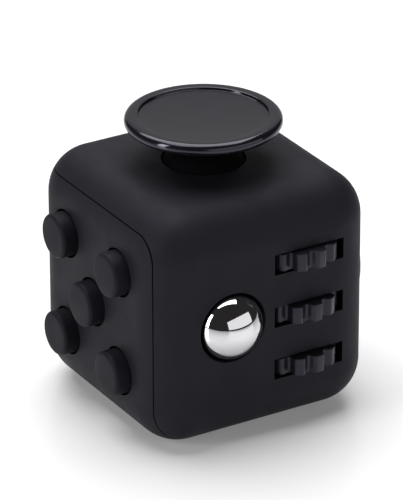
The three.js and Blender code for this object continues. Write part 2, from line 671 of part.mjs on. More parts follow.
// ---------------------------------------------------------------- inner frame
// A base plate and a deck joined by walls, which pass behind the wheels, the ball and the buttons.
function frameSolid() {
  const { baseBottom, baseTop, deckBottom, deckTop, left, right, front, rear, wall } = FRAME;
  const { pillarLeft, pillarRight, pillarFront, armLeft, armFront, armRear, armBottom, armTop } = FRAME;
  const { tongueHalf, tongueFront, tabRear, tabBottom, tabTop } = FRAME;
  const upright = (x0, x1, y0, y1) => block(x0, x1, y0, y1, baseBottom, deckTop);
  const axle = [WHEEL.u, -HALF + WHEEL.depth, 0];
  const axleFoot = HALF + AXLE.bottom;
  const tongue = [WHEEL.u - tongueHalf, WHEEL.u + tongueHalf];
  const solids = [
    block(FRAME.baseLeft, FRAME.baseRight, FRAME.baseFront, FRAME.baseRear, baseBottom, baseTop),
    block(...tongue, tongueFront, FRAME.baseFront + wall, baseBottom, baseTop),
    bar('w', BOSS_RADIUS, baseBottom, FRAME.axleSocketTop, axle, 24),
    block(armLeft, pillarRight, armRear, pillarFront + wall, baseBottom, armTop),
    block(armLeft, pillarRight, armFront, armRear + wall, armBottom, armTop),
    bar('w', BOSS_RADIUS, armBottom - SEAT, armTop, axle, 24),
    upright(pillarLeft, pillarRight, pillarFront, front + wall),
    upright(left, pillarLeft + wall, front, front + wall),
    upright(right - wall, right, pillarFront, rear),
    upright(left, right, rear - wall, rear),
    upright(left, left + wall, front, rear),
    block(-CRADLE.baseRadius - wall, right, pillarFront, rear, deckBottom, deckTop),
    block(left, left + wall, rear - wall, tabRear, tabBottom, tabTop),
  ];
  const axleBore = bar('w', AXLE.radius + SEAT, axleFoot - GAP, armTop + INSIDE, axle, 20);
  const screwHoles = FRAME_SCREW_PLACES.map(([x, y]) => {
    return bar('w', SCREW.holeRadius, baseBottom - INSIDE, baseTop + INSIDE, [x, y, 0], 16);
  });
  const boardHoles = BOARD_SCREW_PLACES.map(([u, v]) => {
    return bar('u', SCREW.holeRadius, left - INSIDE, left + wall + INSIDE, [0, -u, HALF + v], 16);
  });
  return cutBy(joined(...solids), axleBore, ...screwHoles, ...boardHoles);
}

function framePieces() {
  const screws = FRAME_SCREW_PLACES.map(([x, y], i) => {
    const screw = piece(`frame_screw_${i + 1}`, screwSolid(FRAME_SCREW_LENGTH), STEEL);
    screw.rotation.x = Math.PI;
    screw.position.set(x, y, FRAME.baseTop + SEAT);
    return screw;
  });
  return [piece('inner_frame', frameSolid(), FRAME_BLACK), ...screws];
}

// ---------------------------------------------------------------- casing
function roundedCube(half, radius, segments) {
  const box = new RoundedBoxGeometry(2 * half, 2 * half, 2 * half, segments, radius);
  return toSolid(box.translate(0, 0, HALF));
}

// The halves meet on the rounded edges. Each takes three faces round one corner of the cube, and the
// parting surface is a large rounded block whose corner lies inside the top, front and right edges.
function partingBlock(inset) {
  const reach = 60;
  const roundR = EDGE_R * Math.sin(PARTING_ANGLE);
  const corner = HALF - EDGE_R + roundR - inset;
  const big = new RoundedBoxGeometry(reach, reach, reach, 5, roundR);
  big.translate(corner - reach / 2, reach / 2 - corner, HALF + corner - reach / 2);
  return toSolid(big);
}

function hollowCube() {
  return cutBy(roundedCube(HALF, EDGE_R, OUTER_STEPS), roundedCube(HALF - WALL, EDGE_R - WALL, INNER_STEPS));
}

function casingFront() {
  const openings = [...wheelCutters(), ballHole(), joystickHole(), dialHole()];
  return cutBy(hollowCube(), partingBlock(0), ...openings);
}

// The floor is thicker over the thumb dish, and four bosses take the frame's screws.
function casingRear() {
  const { radius, depth, padRadius, padHeight } = DISH;
  const overlap = WALL / 2;
  const bossTop = FRAME.baseBottom - SEAT;
  const scoopRadius = (radius ** 2 + depth ** 2) / (2 * depth);
  const rim = THREE.MathUtils.radToDeg(Math.acos(radius / scoopRadius));
  const scoopArc = arc(0, depth - scoopRadius, scoopRadius, rim, 90, 5);
  const scoop = turned([[0, -INSIDE], [radius, -INSIDE], ...scoopArc], 40);
  const pad = bar('w', padRadius, overlap, WALL + padHeight, [0, 0, 0], 40);
  const bosses = FRAME_SCREW_PLACES.map(([x, y]) => bar('w', BOSS_RADIUS, overlap, bossTop, [x, y, 0], 20));
  const pilots = FRAME_SCREW_PLACES.map(([x, y]) => {
    return bar('w', SCREW.holeRadius, WALL + GAP, bossTop + INSIDE, [x, y, 0], 16);
  });
  const thick = joined(hollowCube().intersect(partingBlock(GAP)), pad, ...bosses);
  const inCube = thick.intersect(roundedCube(HALF, EDGE_R, OUTER_STEPS));
  return cutBy(inCube, scoop, ...pilots, ...buttonHoles(), rockerHole());
}

// ---------------------------------------------------------------- the whole object
const group = new THREE.Group();
group.add(
  piece('casing_top_front_right', casingFront(), SOFT_BLACK),
  piece('casing_left_bottom_back', casingRear(), SOFT_BLACK),
  ...framePieces(),
  leftFace(),
  faceGroup('front', [...wheelPieces(), ...ballPieces()]),
  topFace(),
  backFace(),
  rightFace(),
);

export default group;
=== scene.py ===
# Fidget cube: the detailed pieces, materials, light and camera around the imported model.
# Local shapes are in millimetres, in the frame of the face of the cube that they belong to:
# u to the right, v up, w out of the cube.
import json
import math

import bmesh
import bpy
from mathutils import Matrix, Vector


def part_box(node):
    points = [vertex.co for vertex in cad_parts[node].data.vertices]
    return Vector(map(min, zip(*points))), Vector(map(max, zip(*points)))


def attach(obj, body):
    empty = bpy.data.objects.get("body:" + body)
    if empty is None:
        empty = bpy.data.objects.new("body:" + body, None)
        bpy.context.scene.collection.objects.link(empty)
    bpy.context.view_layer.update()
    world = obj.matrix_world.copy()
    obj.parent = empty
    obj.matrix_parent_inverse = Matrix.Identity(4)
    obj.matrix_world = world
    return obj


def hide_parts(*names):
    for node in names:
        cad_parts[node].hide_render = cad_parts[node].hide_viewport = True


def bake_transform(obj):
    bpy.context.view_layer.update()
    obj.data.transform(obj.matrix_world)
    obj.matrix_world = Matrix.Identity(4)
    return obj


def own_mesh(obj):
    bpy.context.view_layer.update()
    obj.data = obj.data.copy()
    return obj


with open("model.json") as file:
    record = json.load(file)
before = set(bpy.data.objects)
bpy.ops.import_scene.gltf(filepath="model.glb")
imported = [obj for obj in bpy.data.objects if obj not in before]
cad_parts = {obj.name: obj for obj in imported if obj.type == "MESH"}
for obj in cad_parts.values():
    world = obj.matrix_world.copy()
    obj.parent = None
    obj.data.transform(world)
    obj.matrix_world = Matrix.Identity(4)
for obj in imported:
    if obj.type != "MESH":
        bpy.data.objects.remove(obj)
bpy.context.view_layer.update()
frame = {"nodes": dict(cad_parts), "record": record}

MM = 0.001

# ------------------------------------------------ sizes that the frame's boxes don't give, in mm
EDGE_ROUND = 6.2
WALL = 1.7
GAP = 0.3
BEYOND = 1.0                    # how far a cutter runs past the surface it cuts
EDGE_STEPS, INNER_STEPS, PARTING_STEPS = 16, 8, 14
PARTING_REACH = 30              # half the size of the block that the shells part along
PARTING_ROUND = EDGE_ROUND * math.sin(math.radians(32))
LIP = 0.08                      # softening of moulded edges
SEAM = 0.14                     # the gap between the shells
RECESSED = 0.1                  # how far under the casing's surface the painted shade of its matt inner walls begins

SLOT_CENTRE, SLOT_WIDTH, SLOT_HEIGHT, SLOT_ROOM, SLOT_SKIN = 5.95, 10.4, 2.9, 0.35, 0.7
WHEEL_RADIUS, WHEEL_BORE = 5.65, 1.2
TEETH, GROOVE_DEPTH, LAND_SHARE, GROOVE_SHARE = 12, 0.85, 0.16, 0.47
STEPS_PER_TOOTH = 24
FRONT_TOOTH = {"upper": 9, "middle": 3, "lower": 7}      # how far each wheel is turned, in degrees

BUTTON_RADIUS, BUTTON_ROUND, BUTTON_CROWN = 3.0, 0.55, 0.05
BUTTON_FLANGE, BUTTON_STUB, BUTTON_STUB_RADIUS, BUTTON_CHAMFER = 0.6, 0.4, 1, 0.1
CROWN_SHARES = (0.66, 0.5, 0.33, 0.16)

BALL_HOLE, BALL_LIP, BALL_LIP_DEPTH = 4.93, 4.66, 0.28
BALL_LIP_SLOPE, BALL_LIP_TURN, BALL_LIP_THICK, BALL_BORE_ROOM = 0.16, 0.06, 0.1, 0.05

STICK_PIVOT, DOME_RADIUS, DOME_WALL, STEM_RADIUS = 3.0, 6.0, 0.7, 1.2
CAP_RIM, CAP_RECESS, CAP_RECESS_LIP, CAP_FLOOR, CAP_DIP = 0.81, 8.5, 0.2, 0.42, 0.2
CAP_UNDER, CAP_HUB, CAP_SOCKET_TOP = 0.8, 3.25, 0.35
CAP_FOOT, CAP_HUB_EDGE, CAP_HUB_FILLET, CAP_FLOOR_STEPS = 0.15, 0.2, 0.3, 10
DOME_EDGE = 10                  # how far above the pivot's level the dome starts, in degrees

ROCKER_OPEN = (4.55, 7.75)
ROCKER_TILT, ROCKER_MIDDLE, ROCKER_HALF, ROCKER_SKIRT, ROCKER_PIVOT = 12, 3.18, 6.6, 1.1, 2.9
ROCKER_BELLY, ROCKER_BELLY_EDGE, ROCKER_BELLY_HALF = 1.9, 1.4, 1.9
ROCKER_ROUND, ROCKER_BORE, ROCKER_EDGE = 0.6, 1.1, 0.3
BORE_REACH = 5                  # how far the cutter of the rocker's bore runs past its sides
VALLEY_EDGE, VALLEY_STEP, VALLEY_POINTS, VALLEY_LIFT, VALLEY_CURVE = 2.4, 0.6, 4, 0.06, 0.018

DISH_RADIUS, DISH_DEPTH, DISH_PAD, DISH_PAD_TOP = 9.0, 2.0, 11.0, 3.9
BOSS_RADIUS, BOSS_TOP, PILOT_RADIUS = 1.8, 4.2, 0.95

UPRIGHT = Vector((0, 0, 1))
FLOOR_GAP = 0.05                # keeps the floor out of the plane of the bottom face
COIL_STEPS, WIRE_SIDES = 48, 12
BUTTON_SPRING, BALL_SPRING, JOYSTICK_SPRING = (0.25, 2), (0.15, 2), (0.3, 3)    # wire radius, turns

DIAL_HUB, DIAL_LIFT, DIAL_ROUND, DIAL_CHAMFER, DIAL_EDGE = 2.9, 0.3, 0.7, 0.15, 0.25
DIAL_BORE, DIAL_BORE_TOP = 1.05, 0.2
DIMPLE_RADIUS, DIMPLE_DEPTH, DIMPLE_AT = 3.3, 1.1, 5.2

# ---------------------------------------------------------------- places taken from the frame
main_low, main_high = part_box("casing_top_front_right")
rear_low, rear_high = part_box("casing_left_bottom_back")
CUBE_LOW = Vector((rear_low.x, main_low.y, rear_low.z))
CUBE_HIGH = Vector((main_high.x, rear_high.y, main_high.z))
CENTRE = (CUBE_LOW + CUBE_HIGH) / 2
HALF = (CUBE_HIGH.x - CUBE_LOW.x) / 2 / MM

AXES = {
    "front": ((1, 0, 0), (0, 0, 1), (0, -1, 0)),
    "left": ((0, -1, 0), (0, 0, 1), (-1, 0, 0)),
    "right": ((0, 1, 0), (0, 0, 1), (1, 0, 0)),
    "back": ((-1, 0, 0), (0, 0, 1), (0, 1, 0)),
    "top": ((1, 0, 0), (0, 1, 0), (0, 0, 1)),
    "bottom": ((1, 0, 0), (0, -1, 0), (0, 0, -1)),
}


def face(name):
    """The matrix from a face's frame, in mm, to the row frame, in metres."""
    u, v, w = (Vector(axis) for axis in AXES[name])
    turn = Matrix((u, v, w)).transposed().to_4x4()
    return Matrix.Translation(CENTRE + w * HALF * MM) @ turn @ Matrix.Scale(MM, 4)


def in_face(name, point):
    """A point of the row frame, in metres, in a face's frame, in mm."""
    return face(name).inverted() @ Vector(point)


def middle(node):
    low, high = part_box(node)
    return (low + high) / 2


def cube_frame():
    """The matrix from the cube's own middle, in mm, to the row frame, in metres."""
    return Matrix.Translation(CENTRE) @ Matrix.Scale(MM, 4)


# ---------------------------------------------------------------- meshes
def arc(r, h, radius, start, end, steps):
    """Points of an arc round (r, h), from one angle to the other, in degrees."""
    turns = (math.radians(start + (end - start) * i / steps) for i in range(steps + 1))
    return [(r + radius * math.cos(a), h + radius * math.sin(a)) for a in turns]


def ball_outline(radius, height, steps):
    """The profile of a whole ball at the given height, from its lowest point to its highest."""
    outline = arc(0, height, radius, -90, 90, steps)
    outline[0], outline[-1] = (0, height - radius), (0, height + radius)
    return outline


def lathe(profile, segments=96):
    """A profile of (radius, height) points turned about w. A radius may be a function of the angle.
    The profile starts and ends on the axis, or closes on itself."""
    bm = bmesh.new()
    rings = []
    for radius, height in profile:
        if radius == 0:
            rings.append([bm.verts.new((0, 0, height))] * segments)
            continue
        ring = []
        for i in range(segments):
            angle = 2 * math.pi * i / segments
            r = radius(angle) if callable(radius) else radius
            ring.append(bm.verts.new((r * math.cos(angle), r * math.sin(angle), height)))
        rings.append(ring)
    if profile[0][0] != 0:
        rings.append(rings[0])
    for low, high in zip(rings, rings[1:]):
        for i in range(segments):
            j = (i + 1) % segments
            corners = list(dict.fromkeys((low[i], low[j], high[j], high[i])))
            if len(corners) > 2:
                bm.faces.new(corners)
    bmesh.ops.recalc_face_normals(bm, faces=bm.faces)
    return bm


def prism(outline, low, high):
    """A closed outline of (u, v) points, run from one w to the other."""
    bm = bmesh.new()
    ends = [[bm.verts.new((u, v, w)) for u, v in outline] for w in (low, high)]
    bm.faces.new(ends[0])
    bm.faces.new(ends[1])
    for i in range(len(outline)):
        j = (i + 1) % len(outline)
        bm.faces.new((ends[0][i], ends[0][j], ends[1][j], ends[1][i]))
    bmesh.ops.recalc_face_normals(bm, faces=bm.faces)
    return bm


def coil(mean_radius, wire_radius, turns, low, high):
    """A coil of round wire about w, between two heights."""
    bm = bmesh.new()
    steps = COIL_STEPS * turns
    around = [2 * math.pi * k / WIRE_SIDES for k in range(WIRE_SIDES)]
    rings = []
    for i in range(steps + 1):
        angle = 2 * math.pi * turns * i / steps
        out = Vector((math.cos(angle), math.sin(angle), 0))
        height = low + wire_radius + (high - low - 2 * wire_radius) * i / steps
        centre = out * mean_radius + UPRIGHT * height
        rings.append([bm.verts.new(centre + wire_radius * (math.cos(a) * out + math.sin(a) * UPRIGHT))
                      for a in around])
    bm.faces.new(rings[0])
    bm.faces.new(rings[-1])
    for first, second in zip(rings, rings[1:]):
        for k in range(WIRE_SIDES):
            j = (k + 1) % WIRE_SIDES
            bm.faces.new((first[k], first[j], second[j], second[k]))
    bmesh.ops.recalc_face_normals(bm, faces=bm.faces)
    return bm


def rounded_box(half, radius, segments):
    bm = bmesh.new()
    bmesh.ops.create_cube(bm, size=2 * half)
    bmesh.ops.bevel(bm, geom=bm.edges[:], offset=radius, segments=segments, profile=0.5, affect="EDGES")
    return bm


def block(u0, u1, v0, v1, w0, w1):
    return prism([(u0, v0), (u1, v0), (u1, v1), (u0, v1)], w0, w1)


def placed(bm, matrix):
    bm.transform(matrix)
    if matrix.determinant() < 0:
        bmesh.ops.reverse_faces(bm, faces=bm.faces)
    return bm


def to_object(name, bm):
    mesh = bpy.data.meshes.new(name)
    bm.to_mesh(mesh)
    bm.free()
    obj = bpy.data.objects.new(name, mesh)
    bpy.context.scene.collection.objects.link(obj)
    return obj


def apply_modifiers(obj):
    """The object's mesh becomes what its modifiers make of it."""
    graph = bpy.context.evaluated_depsgraph_get()
    mesh = bpy.data.meshes.new_from_object(obj.evaluated_get(graph))
    obj.modifiers.clear()
    old = obj.data
    obj.data = mesh
    bpy.data.meshes.remove(old)


def boolean(obj, operation, tools):
    """Joins, cuts or intersects obj with each closed shape in tools, which are used up."""
    for number, bm in enumerate(tools):
        tool = to_object(f"tool_{number}", bm)
        step = obj.modifiers.new("boolean", "BOOLEAN")
        step.operation = operation
        step.object = tool
        step.solver = "EXACT"
        apply_modifiers(obj)
        bpy.data.objects.remove(tool)


def soften(obj, width=LIP, segments=2, angle=50):
    """Rounds the edges that are sharper than an angle in degrees."""
    bevel = obj.modifiers.new("bevel", "BEVEL")
    bevel.width = width * MM
    bevel.segments = segments
    bevel.limit_method = "ANGLE"
    bevel.angle_limit = math.radians(angle)
    bevel.use_clamp_overlap = True
    apply_modifiers(obj)


def smooth(obj):
    for polygon in obj.data.polygons:
        polygon.use_smooth = True


def finish(obj, node, body, slot, sharp=40, material=None):
    """Shades the piece, gives it its material and lets it stand for its CAD node."""
    smooth(obj)
    obj.data.set_sharp_from_angle(angle=math.radians(sharp))
    weighted = obj.modifiers.new("weighted normals", "WEIGHTED_NORMAL")
    weighted.keep_sharp = True
    obj.data.materials.clear()
    obj.data.materials.append(MATERIALS[material or slot])
    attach(obj, body)
    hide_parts(node)


# ---------------------------------------------------------------- materials
def nodes_of(material):
    material.use_nodes = True
    tree = material.node_tree
    tree.nodes.clear()
    output = tree.nodes.new("ShaderNodeOutputMaterial")
    shader = tree.nodes.new("ShaderNodeBsdfPrincipled")
    tree.links.new(shader.outputs["BSDF"], output.inputs["Surface"])
    return tree, shader


def noise_at(tree, size, detail, stretch=(1, 1, 1)):
    """A noise of the given grain size in mm, in the piece's own coordinates."""
    where = tree.nodes.new("ShaderNodeTexCoord")
    mapping = tree.nodes.new("ShaderNodeMapping")
    mapping.inputs["Scale"].default_value = stretch
    texture = tree.nodes.new("ShaderNodeTexNoise")
    texture.inputs["Scale"].default_value = 1 / (size * MM)
    texture.inputs["Detail"].default_value = detail
    tree.links.new(where.outputs["Object"], mapping.inputs["Vector"])
    tree.links.new(mapping.outputs["Vector"], texture.inputs["Vector"])
    return texture.outputs[0]


def ranged(tree, value, low, high):
    """Spreads the middle of a noise's range over the range from low to high."""
    span = tree.nodes.new("ShaderNodeMapRange")
    span.inputs["From Min"].default_value = 0.3
    span.inputs["From Max"].default_value = 0.7
    span.inputs["To Min"].default_value = low
    span.inputs["To Max"].default_value = high
    tree.links.new(value, span.inputs["Value"])
    return span.outputs["Result"]


def mixed(tree, factor, first, second):
    mix = tree.nodes.new("ShaderNodeMix")
    mix.data_type = "RGBA"
    mix.inputs["A"].default_value = (*first, 1)
    mix.inputs["B"].default_value = (*second, 1)
    tree.links.new(factor, mix.inputs["Factor"])
    return mix.outputs["Result"]


def bumped(tree, shader, layers):
    """Bump layers of (height, strength, depth in mm), one on another."""
    normal = None
    for height, strength, depth in layers:
        bump = tree.nodes.new("ShaderNodeBump")
        bump.inputs["Strength"].default_value = strength
        bump.inputs["Distance"].default_value = depth * MM
        tree.links.new(height, bump.inputs["Height"])
        if normal:
            tree.links.new(normal, bump.inputs["Normal"])
        normal = bump.outputs["Normal"]
    tree.links.new(normal, shader.inputs["Normal"])


PLASTIC_SHINE = (0.86, 0.83, 1.0)


def moulded(name, dark, light, rough, grain, grain_depth, specular):
    """A moulded plastic: a fine grain, slow changes of colour, and patches polished by handling."""
    material = bpy.data.materials.new(name)
    tree, shader = nodes_of(material)
    patches = noise_at(tree, 9, 2)
    smudges = noise_at(tree, 3.5, 4)
    fine = noise_at(tree, grain, 2)
    tree.links.new(mixed(tree, ranged(tree, patches, 0, 1), dark, light), shader.inputs["Base Color"])
    tree.links.new(ranged(tree, smudges, rough - 0.05, rough + 0.05), shader.inputs["Roughness"])
    shader.inputs["Specular IOR Level"].default_value = specular
    shader.inputs["Specular Tint"].default_value = (*PLASTIC_SHINE, 1)
    bumped(tree, shader, [(smudges, 0.05, 0.02), (fine, 0.35, grain_depth)])
    return material


def metal(name, dark, light, rough, brushed=(1, 1, 1), scratch=0.4, scratch_depth=0.002):
    """A metal: slow smudges of roughness and fine scratches, drawn out where it is brushed."""
    material = bpy.data.materials.new(name)
    tree, shader = nodes_of(material)
    smudges = noise_at(tree, 2.5, 4)
    scratches = noise_at(tree, scratch, 6, brushed)
    tree.links.new(mixed(tree, ranged(tree, smudges, 0, 1), dark, light), shader.inputs["Base Color"])
    tree.links.new(ranged(tree, smudges, rough * 0.7, rough * 1.3), shader.inputs["Roughness"])
    shader.inputs["Metallic"].default_value = 1
    bumped(tree, shader, [(scratches, 0.2, scratch_depth)])
    return material


def laminate():
    """The board's green laminate, with the weave of its glass cloth."""
    material = bpy.data.materials.new("board_laminate")
    tree, shader = nodes_of(material)
    weave = noise_at(tree, 0.4, 1, (1, 6, 1))
    cloud = noise_at(tree, 5, 2)
    colour = mixed(tree, ranged(tree, cloud, 0, 1), (0.012, 0.09, 0.035), (0.02, 0.13, 0.05))
    tree.links.new(colour, shader.inputs["Base Color"])
    tree.links.new(ranged(tree, weave, 0.35, 0.55), shader.inputs["Roughness"])
    bumped(tree, shader, [(weave, 0.3, 0.02)])
    return material


PLASTICS = {                    # darker and lighter colour, roughness, grain and its depth in mm, shine
    "casing_plastic": ((0.0108, 0.0103, 0.0138), (0.0122, 0.0116, 0.0156), 0.6, 0.12, 0.006, 0.15),
    "button_plastic": ((0.0076, 0.0071, 0.0101), (0.0088, 0.0082, 0.0115), 0.6, 0.12, 0.006, 0.14),
    "control_plastic": ((0.0085, 0.008, 0.0112), (0.0098, 0.0092, 0.0128), 0.32, 0.1, 0.003, 0.36),
    # matt_plastic: a matt finish, and a colour far darker than the casing's that is painted shade in
    # recesses and under the cap
    "matt_plastic": ((0.0018, 0.0017, 0.0022), (0.0026, 0.0025, 0.0031), 0.75, 0.1, 0.004, 0.06),
    "cap_plastic": ((0.0062, 0.0057, 0.0088), (0.0072, 0.0067, 0.0102), 0.13, 0.1, 0.0006, 0.5),
    "frame_plastic": ((0.012, 0.012, 0.013), (0.016, 0.016, 0.018), 0.5, 0.2, 0.01, 0.5),
    "switch_plastic": ((0.012, 0.012, 0.013), (0.016, 0.016, 0.018), 0.4, 0.1, 0.004, 0.5),
    "pad_rubber": ((0.05, 0.05, 0.052), (0.07, 0.07, 0.075), 0.85, 0.08, 0.01, 0.5),
}
MATERIALS = {name: moulded(name, *look) for name, look in PLASTICS.items()}
MATERIALS["ball_chrome"] = metal("ball_chrome", (0.62, 0.62, 0.64), (0.66, 0.66, 0.67), 0.03,
                                 scratch=0.25, scratch_depth=0.0004)
MATERIALS["steel"] = metal("steel", (0.5, 0.5, 0.52), (0.62, 0.62, 0.64), 0.3, (1, 1, 8))
MATERIALS["brass"] = metal("brass", (0.55, 0.4, 0.14), (0.66, 0.49, 0.2), 0.28, (8, 8, 1))
MATERIALS["board_laminate"] = laminate()


# ---------------------------------------------------------------- left face: buttons
def button(name):
    node = f"button_{name}"
    low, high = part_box(node)
    at = in_face("left", middle(node))
    outer = in_face("left", low).z
    inner = in_face("left", high).z
    flange_radius = (high.y - low.y) / 2 / MM
    flange_back = inner + BUTTON_STUB
    flange_front = flange_back + BUTTON_FLANGE
    rim = arc(BUTTON_RADIUS - BUTTON_ROUND, outer - BUTTON_CROWN - BUTTON_ROUND, BUTTON_ROUND, 0, 90, 8)
    crown = [(BUTTON_RADIUS * share, outer - BUTTON_CROWN * share * share) for share in CROWN_SHARES]
    profile = [(0, inner), (BUTTON_STUB_RADIUS, inner), (BUTTON_STUB_RADIUS, flange_back),
               (flange_radius - BUTTON_CHAMFER, flange_back), (flange_radius, flange_back + BUTTON_CHAMFER),
               (flange_radius, flange_front), (BUTTON_RADIUS, flange_front), *rim, *crown, (0, outer)]
    bm = placed(lathe(profile, 72), face("left") @ Matrix.Translation((at.x, at.y, 0)))
    finish(to_object(f"push_{node}", bm), node, f"{name}_button", "button_plastic")


BUTTONS = ("rear_upper", "front_upper", "centre", "rear_lower", "front_lower")
for button_name in BUTTONS:
    button(button_name)


# ---------------------------------------------------------------- front face: thumb wheels and ball
def thumb_wheel(name):
    node = f"thumb_wheel_{name}"
    low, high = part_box(node)
    at = middle(node)
    half = (high.z - low.z) / 2 / MM
    start = math.radians(FRONT_TOOTH[name] - 90)

    def toothed(inset):
        def radius(angle):
            share = abs(((angle - start) * TEETH / (2 * math.pi) + 0.5) % 1 - 0.5)
            t = min(max((share - LAND_SHARE) / (GROOVE_SHARE - LAND_SHARE), 0), 1)
            return WHEEL_RADIUS - GROOVE_DEPTH * t * t * (3 - 2 * t) - inset
        return radius

    edge = [(LIP * (1 - math.cos(a)), half - LIP * (1 - math.sin(a))) for a in (0, 0.5, 1.0, math.pi / 2)]
    upper = [(toothed(inset), height) for inset, height in edge]
    lower = [(toothed(inset), -height) for inset, height in reversed(edge)]
    profile = [(WHEEL_BORE, -half), *lower, *upper, (WHEEL_BORE, half)]
    bm = placed(lathe(profile, TEETH * STEPS_PER_TOOTH), Matrix.Translation(at) @ Matrix.Scale(MM, 4))
    finish(to_object(f"toothed_{node}", bm), node, f"{name}_wheel", "control_plastic")


for wheel_name in FRONT_TOOTH:
    thumb_wheel(wheel_name)


def rolling_ball():
    low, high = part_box("steel_ball")
    radius = (high.x - low.x) / 2 / MM
    where = Matrix.Translation(middle("steel_ball")) @ Matrix.Scale(MM, 4)
    bm = placed(lathe(ball_outline(radius, 0, 64), 128), where)
    finish(to_object("polished_ball", bm), "steel_ball", "ball", "ball_chrome", 180)


rolling_ball()


# ---------------------------------------------------------------- top face: joystick
def joystick_cap():
    low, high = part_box("joystick_cap")
    radius = (high.x - low.x) / 2 / MM
    top = in_face("top", high).z
    bottom = in_face("top", low).z
    rim = top - CAP_RIM
    socket = STEM_RADIUS + GAP
    under = rim - CAP_UNDER
    outside = arc(radius - CAP_RIM, rim, CAP_RIM, -95, 90, 28)
    inside = arc(CAP_RECESS + CAP_RECESS_LIP, top - CAP_RECESS_LIP, CAP_RECESS_LIP, 90, 180, 6)
    foot = arc(CAP_RECESS - CAP_FOOT, rim + CAP_FLOOR + CAP_FOOT, CAP_FOOT, 0, -90, 4)
    inwards = [1 - i / CAP_FLOOR_STEPS for i in range(1, CAP_FLOOR_STEPS + 1)]
    floor = [(foot[-1][0] * share, rim + CAP_FLOOR - CAP_DIP * (1 - share ** 2)) for share in inwards]
    hub = [(CAP_HUB - CAP_HUB_EDGE, bottom), (CAP_HUB, bottom + CAP_HUB_EDGE),
           (CAP_HUB, under - CAP_HUB_FILLET), (CAP_HUB + CAP_HUB_FILLET, under)]
    profile = [(0, rim - CAP_SOCKET_TOP), (socket, rim - CAP_SOCKET_TOP), (socket, bottom), *hub, *outside,
               *inside, *foot, *floor[:-1], (0, floor[-1][1])]
    bm = placed(lathe(profile, 144), face("top"))
    finish(to_object("dished_cap", bm), "joystick_cap", "joystick", "control_plastic", 50, "cap_plastic")


def joystick_dome():
    bore = STEM_RADIUS + GAP
    inner = DOME_RADIUS - DOME_WALL
    outer_arc = arc(0, -STICK_PIVOT, DOME_RADIUS, DOME_EDGE,
                    math.degrees(math.acos(bore / DOME_RADIUS)), 24)
    inner_arc = arc(0, -STICK_PIVOT, inner, math.degrees(math.acos(bore / inner)), DOME_EDGE, 16)
    bm = placed(lathe([*outer_arc, *inner_arc], 96), face("top"))
    # the collar under the cap takes the darker matt plastic: a matt finish, with painted shade under the
    # cap in its colour
    finish(to_object("joystick_collar", bm), "joystick_dome", "joystick", "control_plastic",
           material="matt_plastic")


joystick_cap()
joystick_dome()


# ---------------------------------------------------------------- back face: flip switch
def flip_switch():
    low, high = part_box("rocker")
    half_width = (high.x - low.x) / 2 / MM
    end = ROCKER_MIDDLE + ROCKER_HALF * math.tan(math.radians(ROCKER_TILT))
    end_arc = arc(ROCKER_HALF - ROCKER_ROUND, end - ROCKER_ROUND, ROCKER_ROUND, 0, 90, 8)
    lowest = ROCKER_MIDDLE + VALLEY_LIFT
    valley = [(VALLEY_EDGE - VALLEY_STEP * i, lowest + VALLEY_CURVE * (VALLEY_POINTS - i) ** 2)
              for i in range(VALLEY_POINTS)]
    side = [(ROCKER_BELLY_HALF, -ROCKER_BELLY_EDGE), (ROCKER_HALF, ROCKER_SKIRT), *end_arc, *valley]
    outline = [(0, -ROCKER_BELLY), *side, (0, lowest), *[(-v, w) for v, w in reversed(side)]]
    across = Matrix(((0, 0, 1, 0), (1, 0, 0, 0), (0, 1, 0, 0), (0, 0, 0, 1)))
    tilt = Matrix.Rotation(math.radians(ROCKER_TILT), 4, "X")
    where = face("back") @ Matrix.Translation((0, 0, -ROCKER_PIVOT)) @ tilt @ across
    obj = to_object("flip_paddle", placed(prism(outline, -half_width, half_width), where))
    past = half_width + BORE_REACH
    pin_bore = lathe([(0, -past), (ROCKER_BORE, -past), (ROCKER_BORE, past), (0, past)], 48)
    boolean(obj, "DIFFERENCE", [placed(pin_bore, where)])
    soften(obj, ROCKER_EDGE, 4, 60)
    finish(obj, "rocker", "flip_switch", "control_plastic")


flip_switch()


# ---------------------------------------------------------------- right face: dial
def spinning_dial():
    low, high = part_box("dial")
    radius = (high.y - low.y) / 2 / MM
    inner = in_face("right", low).z
    outer = in_face("right", high).z
    rim = arc(radius - DIAL_ROUND, outer - DIAL_ROUND, DIAL_ROUND, 0, 90, 12)
    profile = [(0, inner), (DIAL_HUB, inner), (DIAL_HUB, DIAL_LIFT), (radius - DIAL_CHAMFER, DIAL_LIFT),
               (radius, DIAL_LIFT + DIAL_CHAMFER), *rim, (0, outer)]
    obj = to_object("dimpled_dial", placed(lathe(profile, 144), face("right")))
    scoop_radius = (DIMPLE_RADIUS ** 2 + DIMPLE_DEPTH ** 2) / (2 * DIMPLE_DEPTH)
    at = Matrix.Translation((0, DIMPLE_AT, outer - DIMPLE_DEPTH + scoop_radius))
    back = inner - BEYOND
    hole = lathe([(0, back), (DIAL_BORE, back), (DIAL_BORE, DIAL_BORE_TOP), (0, DIAL_BORE_TOP)], 32)
    scoop = lathe(ball_outline(scoop_radius, 0, 96), 96)
    boolean(obj, "DIFFERENCE", [placed(scoop, face("right") @ at), placed(hole, face("right"))])
    soften(obj, DIAL_EDGE, 3, 25)
    finish(obj, "dial", "spinner", "control_plastic", 30)


spinning_dial()


# ---------------------------------------------------------------- casing
def shell():
    """The outside of the casing, as one solid rounded cube."""
    return placed(rounded_box(HALF, EDGE_ROUND, EDGE_STEPS), cube_frame())


def hollow():
    """The room inside the casing's walls."""
    return placed(rounded_box(HALF - WALL, EDGE_ROUND - WALL, INNER_STEPS), cube_frame())


def parting_block(inset):
    """A large rounded block whose corner lies inside the top, front and right edges, where the shells
    part."""
    corner = HALF - EDGE_ROUND + PARTING_ROUND - inset
    shift = Matrix.Translation((corner - PARTING_REACH, PARTING_REACH - corner, corner - PARTING_REACH))
    return placed(rounded_box(PARTING_REACH, PARTING_ROUND, PARTING_STEPS), cube_frame() @ shift)


